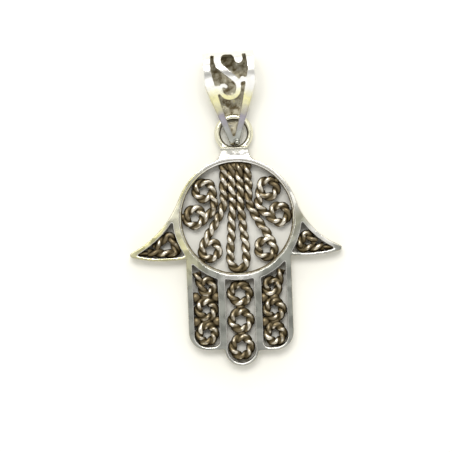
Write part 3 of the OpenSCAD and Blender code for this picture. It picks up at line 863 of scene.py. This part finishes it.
def casting_stain_and_painted_light(mesh):
    """How stained and how shaded each point of the cast hand is.

    Oxide lies in the openings, and most in the grooves along the palm's opening and inside the ring.
    The outer walls get painted shade, darker as they turn away from the top. The edges of the openings
    get a painted highlight, partly edge wear, and the outer edges painted shade."""
    hand = settings().hand
    middle = palm_middle()
    top = FRAME_HIGH.z
    ring_y = FRAME_HIGH.y - hand.ring_wire - hand.ring_hole_r
    walls = [p.index for p in mesh.polygons if abs(p.normal.z) < UPRIGHT]
    openings = corner_shares(mesh, all_but_longest(mesh, walls))
    levels = []
    for share, v in zip(openings, mesh.vertices):
        x, y, z = v.co
        up = v.normal.z
        off_palm = math.hypot(x - middle.x, y - middle.y)
        off_ring = math.hypot(x - middle.x, y - ring_y)
        # The line of oxide round the palm's opening is thin at the top and broad at the bottom
        line_w = hand.lip_w * (0.5 - 0.3 * (y - middle.y) / hand.palm_r)
        if off_palm < hand.palm_r + line_w or off_ring < hand.ring_hole_r + 0.25 * hand.ring_wire:
            levels.append(GROOVE)
        # Painted highlight on the openings' edges, partly edge wear, and painted shade on the outer
        # edges
        elif z > top - EDGE_H and EDGE_LEAN[0] < up < EDGE_LEAN[1]:
            levels.append(WORN_EDGE_AND_SHEEN if share > AT_OPENING else SHADED_EDGE)
        else:
            deep = depth_below(z, top - 0.2 * MM, top - 0.8 * MM)
            inside = share * (OPENING_TOP + (1 - OPENING_TOP) * deep)
            # Painted shade on the outer walls, darker as they lean over
            outer_shade = OUTER_WALL_SHADE * (1 - share) * depth_below(up, 0.8, 0.2) if up > -UPRIGHT else 0.0
            levels.append(inside + outer_shade)
    return levels


def painted_highlight_places():
    """Places of the cast hand that get a painted highlight, and how strong each is.

    They are the rim's foot, the tips of the middle, left and right finger, the rim's left side and the
    right thumb."""
    hand = settings().hand
    side_x = (hand.slot_w + hand.side_slot_w) / 2 + hand.bar_w
    return [(palm_middle() + Vector((x, y)), shine) for x, y, shine in (
        (0, -hand.palm_r - hand.rim_bottom_w / 2, 0.7),
        (0, -hand.slot_end, 0.35),
        (-side_x, -hand.left_end, 0.1),
        (side_x, -hand.right_end, 0.35),
        (-hand.palm_r, 0, 0.45),
        (0.75 * hand.reach_right, -0.8 * hand.thumb_drop, 0.85))]


class PENDANT_OT_cast_frame(bpy.types.Operator):
    """Rounds and polishes the cast hand with its lug and ring"""

    bl_idname = "pendant.cast_frame"
    bl_label = "Cast hand"

    def execute(self, context):
        hand = settings().hand
        piece = copy_of_node("hand_frame", "polished_hand")
        lug_low = palm_middle().y + hand.palm_r + hand.rim_top_w
        # The lug is filed by hand, so it is dented more than the rest
        rub_down(piece, hand.skin, hand.rubs, [
            Dents(depth=0.04, spread=2.2),
            Dents(
                depth=0.18, spread=1.0,
                where=lambda place: lug_low < place.y * MM < lug_low + hand.lug_h),
        ])
        store_stain_and_painted_light(piece, casting_stain_and_painted_light(piece.data))
        piece.data.materials.append(
            polished_cast_silver(settings().finish, palm_middle(), painted_highlight_places()))
        stands_for(piece, "hand_frame")
        return {"FINISHED"}


def towards_core(place, pinch, bend):
    """Direction from a place on the bail's strip to the line from its pinch to its bend, in Y and Z."""
    way = bend - pinch
    share = max(0.0, min(1.0, (place - pinch).dot(way) / way.length_squared))
    inward = pinch + share * way - place
    return inward.normalized() if inward.length > 0 else Vector((0, 0))


# How squarely a face of the bail's strip looks in or out; the rest are its cut edges
BROADSIDE = 0.6
# Stain of the unpolished inside of the bail
INSIDE_STAIN = 0.62


class PENDANT_OT_bail(bpy.types.Operator):
    """Rounds and polishes the bail with its scroll"""

    bl_idname = "pendant.bail"
    bl_label = "Bail"

    def execute(self, context):
        bail = settings().bail
        piece = copy_of_node("bail", "polished_bail")
        select_only(piece)
        bpy.ops.object.mode_set(mode="EDIT")
        bpy.ops.mesh.primitive_ico_sphere_add(
            subdivisions=3, radius=bail.bead_r,
            location=(palm_middle().x + bail.bead_x, BAIL_LOW.y + bail.bead_r, bail.bead_z))
        edit_done()
        rub_down(piece, bail.skin, bail.rubs, [Dents(depth=0.08, spread=1.2)])
        mesh = piece.data
        pinch = Vector((BAIL_LOW.y + bail.tip_drop, bail.wall))
        bend = Vector((BAIL_HIGH.y - bail.bend_r - bail.wall, bail.bend_r + bail.wall))
        cuts, inner = [], set()
        for face in mesh.polygons:
            inward = towards_core(Vector(face.center[1:]), pinch, bend)
            facing = Vector(face.normal[1:]).dot(inward)
            if facing > BROADSIDE:
                inner.add(face.index)
            elif facing > -BROADSIDE:
                cuts.append(face.index)
        walls = corner_shares(mesh, all_but_longest(mesh, cuts))
        inside = corner_shares(mesh, inner)
        store_stain_and_painted_light(piece, [max(wall, INSIDE_STAIN * share) for wall, share in zip(walls, inside)])
        # Height where the painted highlight at the top of the bail is full
        painted_sheen_y = pinch.lerp(bend, 0.8).x
        mesh.materials.append(soldered_strip_silver(settings().finish, BAIL_LOW.y, painted_sheen_y))
        stands_for(piece, "bail")
        return {"FINISHED"}


# Angles at which curls rest against the palm's rim, in degrees up from the palm's level line
SCROLL_CURL, HIGH_CURL, SIDE_CURL = -48.5, 41, 2.5


def on_rim(side, degrees, inset):
    """The place at an angle that lies a little inside the palm's rim."""
    r = settings().hand.palm_r - inset
    a = math.radians(degrees)
    return side * r * math.cos(a), r * math.sin(a)


def rim_curl(side, degrees, turn):
    """A curl that rests against the palm's rim."""
    wire = settings().wire
    return Peg(*on_rim(side, degrees, seat() + wire.curl_r), wire.curl_r, turn, wire.wrap)


def rim_solder(side, degrees):
    """A pool of solder between a curl and the palm's rim."""
    return Pool(*on_rim(side, degrees, 0.15 * MM), across=0.5 * MM, along=0.5 * MM)


def rim_end(x):
    """A straight end that just clears the palm's rim."""
    hand, wire = settings().hand, settings().wire
    clear = math.sqrt((hand.palm_r - wire.gap) ** 2 - (abs(x) + wire.rope_d / 2) ** 2)
    return straight_end(x, clear)


class PENDANT_OT_palm_wires(bpy.types.Operator):
    """Twists and lays the five wires in the palm"""

    bl_idname = "pendant.palm_wires"
    bl_label = "Palm wires"

    def execute(self, context):
        wire = settings().wire
        palm_r = settings().hand.palm_r
        # The pegs' places and radii are shares of the palm's radius
        bend_r = 0.56 * palm_r
        for side, word in ((-1, "left"), (1, "right")):
            x = side * 1.5 * lay()
            finish_wire("palm_scroll_" + word, laid_round([
                rim_end(x),
                Peg(x=x + side * bend_r, y=0.37 * palm_r, radius=bend_r, turn=side),
                rim_curl(side, SCROLL_CURL, -side),
            ]), solder=[rim_solder(side, SCROLL_CURL)])
            finish_wire("side_scroll_" + word, laid_round([
                rim_curl(side, HIGH_CURL, side),
                Peg(x=side * 0.61 * palm_r, y=0.27 * palm_r, radius=0.21 * palm_r, turn=side),
                rim_curl(side, SIDE_CURL, side),
            ]), solder=[rim_solder(side, HIGH_CURL), rim_solder(side, SIDE_CURL)])
        x = lay() / 2
        side_r = 1.27 * palm_r
        side_y = 0.22 * palm_r
        finish_wire("palm_loop", laid_round([
            rim_end(-x),
            Peg(-x - side_r, side_y, side_r, turn=-1),
            Peg(0, wire.loop_r - palm_r + seat(), wire.loop_r, turn=1),
            Peg(x + side_r, side_y, side_r, turn=-1),
            rim_end(x),
        ]), solder=[
            Pool(0, palm_r - 0.45 * MM, across=2 * lay(), along=0.75 * MM),
            Pool(0, 0.35 * MM - palm_r, across=0.9 * MM, along=0.4 * MM),
        ])
        return {"FINISHED"}


class PENDANT_OT_finger_wires(bpy.types.Operator):
    """Twists the rosettes and the curls in the fingers, each by hand and so a little different"""

    bl_idname = "pendant.finger_wires"
    bl_label = "Finger wires"

    def execute(self, context):
        self.middle_finger()
        self.outer_fingers()
        return {"FINISHED"}

    def middle_finger(self):
        hand, wire = settings().hand, settings().wire
        end_space = 0.3 * MM
        first = -hand.slot_top - seat() - wire.middle_rosette_r
        last = -hand.slot_end + end_space + seat() + wire.middle_rosette_r
        step = (last - first) / 2
        for i in range(3):
            y = first + step * i
            above = Pool(0, y - step / 2, across=0.6 * MM, along=0.35 * MM)
            finish_wire(
                f"middle_rosette_{i + 1}", ring_points(0, y, wire.middle_rosette_r),
                2 * wire.rosette_turns, solder=[above] if i else [])

    def outer_fingers(self):
        hand, wire = settings().hand, settings().wire
        end_space = 0.12 * MM
        side_x = hand.slot_w / 2 + hand.bar_w + hand.side_slot_w / 2
        tail_in = hand.side_slot_w / 2 - seat()
        tail_x = side_x + tail_in
        curl_x = side_x - tail_in + wire.finger_curl_r
        curl_y = -math.sqrt((hand.web_r + seat() + wire.finger_curl_r) ** 2 - curl_x ** 2)
        top = math.sqrt((hand.web_r + wire.gap) ** 2 - (tail_x - wire.rope_d / 2) ** 2)
        corner_x = 0.42 * hand.side_slot_w
        # The corners beside each rosette that are filled with solder: -1 left, 0 middle, 1 right
        for side, word, drop, end, filled in (
                (-1, "left", 0, hand.left_end, (-1, 0, 1)),
                (1, "right", wire.curl_drop, hand.right_end, (-1, 0))):
            last = -end + end_space + seat() + wire.side_rosette_r
            above = curl_y - drop - wire.finger_curl_r + wire.side_rosette_r
            step = (above - last) / 2
            for i in range(2):
                y = last + step * i
                finish_wire(
                    f"{word}_rosette_{2 - i}", ring_points(side * side_x, y, wire.side_rosette_r),
                    2 * wire.rosette_turns, solder=[
                        Pool(
                            side * side_x + corner * corner_x, y + step / 2,
                            across=0.7 * MM, along=0.7 * MM)
                        for corner in filled])
            finish_wire(word + "_finger_curl", laid_round([
                straight_end(side * (tail_x - wire.gap / 2), -top - 0.12 * wire.rope_d),
                Peg(side * curl_x, curl_y - drop, wire.finger_curl_r, -side, wire.wrap),
            ]))


class PENDANT_OT_thumb_wires(bpy.types.Operator):
    """Bends and twists the three-legged wires in the thumbs"""

    bl_idname = "pendant.thumb_wires"
    bl_label = "Thumb wires"

    def execute(self, context):
        hand, wire = settings().hand, settings().wire
        rim_r = hand.palm_r + (hand.rim_top_w + hand.rim_bottom_w) / 2
        rim_centre = Vector((0, -(hand.rim_bottom_w - hand.rim_top_w) / 2))
        origin = Vector((0, 0))
        for side, word, reach, hollow_r in (
                (-1, "left", hand.reach_left, hand.hollow_left),
                (1, "right", hand.reach_right, hand.hollow_right)):
            tip = Vector((reach - hand.tip_r, -hand.thumb_drop))
            hollow = crossing(rim_centre, rim_r + hollow_r, tip, hand.tip_r + hollow_r)
            back = 0.3 * reach
            belly = tip + Vector((-back, math.sqrt((hand.belly_r - hand.tip_r) ** 2 - back ** 2)))
            floor_r = hand.belly_r - hand.floor_w - seat()
            rail_r = hollow_r + hand.rail_w + seat()
            tail = crossing(hollow, rail_r, belly, floor_r)
            bend_r = wire.thumb_bend_r
            low = crossing(belly, floor_r - bend_r, origin, hand.web_r + seat() + bend_r)
            high = crossing(hollow, rail_r + bend_r, origin, hand.web_r + seat() + bend_r)
            end = crossing(hollow, rail_r, belly, floor_r - wire.thumb_end_h)
            finish_wire("thumb_scroll_" + word, laid_round([
                straight_end(side * tail.x, tail.y),
                Peg(side * low.x, low.y, bend_r, -side),
                Peg(side * high.x, high.y, bend_r, -side),
                straight_end(side * end.x, end.y),
            ]), solder=[
                # These brown pools of solder also stand in for the shade in the thumb's narrow tip and
                # lower corner
                Pool(side * (tip.x - 1.4 * MM), tip.y + 0.15 * MM, across=1.1 * MM, along=0.35 * MM),
                Pool(side * low.x, low.y - bend_r, across=0.6 * MM, along=0.5 * MM),
            ])
        return {"FINISHED"}


def soft_box(name, place, target, width, height, power, hex_colour):
    """A square softbox that looks at the target."""
    bpy.ops.object.select_all(action="DESELECT")
    bpy.ops.object.light_add(type="AREA", location=place)
    lamp = bpy.context.object
    lamp.name = name
    lamp.data.shape = "RECTANGLE"
    lamp.data.size = width
    lamp.data.size_y = height
    lamp.data.energy = power
    lamp.data.color = linear(hex_colour)[:3]
    lamp.rotation_euler = (Vector(target) - Vector(place)).to_track_quat("-Z", "Y").to_euler()


# Name, compass bearing from +Y towards +X, height in degrees, width and height in metres, watts, tint
SOFTBOXES = (
    ("north_high_softbox", -8, 66, 0.4, 0.25, 2.4, "#ffffff"),
    ("north_low_softbox", 5, 24, 0.8, 0.25, 1.0, "#ffffff"),
    ("east_softbox", 80, 30, 0.5, 0.3, 0.08, "#fbfdff"),
    ("west_softbox", -85, 28, 0.5, 0.3, 0.12, "#fffaf0"),
    ("south_softbox", 175, 46, 0.4, 0.2, 0.15, "#f4f7ff"),
)


class PENDANT_OT_stage(bpy.types.Operator):
    """Lays the floor, hangs the lights and sets the camera"""

    bl_idname = "pendant.stage"
    bl_label = "Floor, light and camera"

    def execute(self, context):
        stage = settings().stage
        middle = palm_middle()
        bpy.ops.object.select_all(action="DESELECT")
        bpy.ops.mesh.primitive_plane_add(size=stage.floor_w)
        floor = bpy.context.object
        floor.name = "floor"
        floor.data.materials.append(matt_card(stage.floor_colour))

        world = bpy.data.worlds.new("pale_room")
        world.use_nodes = True
        tree = world.node_tree
        outward = add_node(tree, "TexCoord", {}, "Generated")
        upward = add_node(tree, "SeparateXYZ", {"Vector": outward}, "Z")
        # The ceiling is dimmer than the walls, so the flat silver under it doesn't mirror pure white
        glow = add_node(
            tree, "MapRange",
            {
                "Value": upward, "From Min": 0.75, "From Max": 0.97, "To Min": stage.sky,
                "To Max": stage.ceiling,
            }, **EASED)
        fill_inputs(tree, tree.nodes["Background"], {"Color": (1, 1, 1, 1), "Strength": glow})
        context.scene.world = world
        target = Vector((0, 0, 0))
        for name, compass, rise, width, tall, power, tint in SOFTBOXES:
            a, e = math.radians(compass), math.radians(rise)
            way = Vector((math.sin(a) * math.cos(e), math.cos(a) * math.cos(e), math.sin(e)))
            soft_box(name, stage.lamp_far * way, target, width, tall, power, tint)

        bpy.ops.object.camera_add(
            location=(middle.x + stage.seen_x, middle.y + stage.seen_y, FRAME_HIGH.z + stage.camera_h),
            rotation=(0, 0, -stage.turn))
        camera = context.object
        camera.data.lens = camera.data.sensor_width * stage.camera_h / stage.seen_w
        context.scene.camera = camera
        context.scene.view_settings.view_transform = "Standard"
        return {"FINISHED"}


class PendantSettings(bpy.types.PropertyGroup):
    """All settings of the pendant"""

    hand: PointerProperty(type=HandSizes, name="Hand", description="Sizes of the cast hand")
    wire: PointerProperty(type=WireSizes, name="Wire", description="Sizes of the twisted wire")
    bail: PointerProperty(type=BailSizes, name="Bail", description="Sizes of the bail")
    finish: PointerProperty(type=SilverFinish, name="Silver", description="Colours of the silver")
    stage: PointerProperty(type=StageSizes, name="Stage", description="Floor, light and camera")


class PENDANT_PT_panel(bpy.types.Panel):
    """Lists the pendant's settings and modelling steps"""

    bl_idname = "PENDANT_PT_panel"
    bl_label = "Pendant"
    bl_space_type = "VIEW_3D"
    bl_region_type = "UI"
    bl_category = "Pendant"

    def draw(self, context):
        for step in STEPS:
            self.layout.operator(step.bl_idname)
        for part in ("hand", "wire", "bail", "finish", "stage"):
            group = getattr(context.scene.pendant, part)
            box = self.layout.box()
            box.label(text=part.capitalize())
            for name in group.bl_rna.properties.keys():
                if name not in {"rna_type", "name"}:
                    box.prop(group, name)


STEPS = (
    PENDANT_OT_cast_frame, PENDANT_OT_bail, PENDANT_OT_palm_wires, PENDANT_OT_finger_wires,
    PENDANT_OT_thumb_wires, PENDANT_OT_stage,
)
CLASSES = (
    HandSizes, WireSizes, BailSizes, SilverFinish, StageSizes, PendantSettings, *STEPS,
    PENDANT_PT_panel,
)


def register():
    for cls in CLASSES:
        bpy.utils.register_class(cls)
    bpy.types.Scene.pendant = PointerProperty(type=PendantSettings)


def unregister():
    del bpy.types.Scene.pendant
    for cls in reversed(CLASSES):
        bpy.utils.unregister_class(cls)


def main():
    register()
    bpy.ops.pendant.cast_frame()
    bpy.ops.pendant.bail()
    bpy.ops.pendant.palm_wires()
    bpy.ops.pendant.finger_wires()
    bpy.ops.pendant.thumb_wires()
    bpy.ops.pendant.stage()


if __name__ == "__main__":
    main()
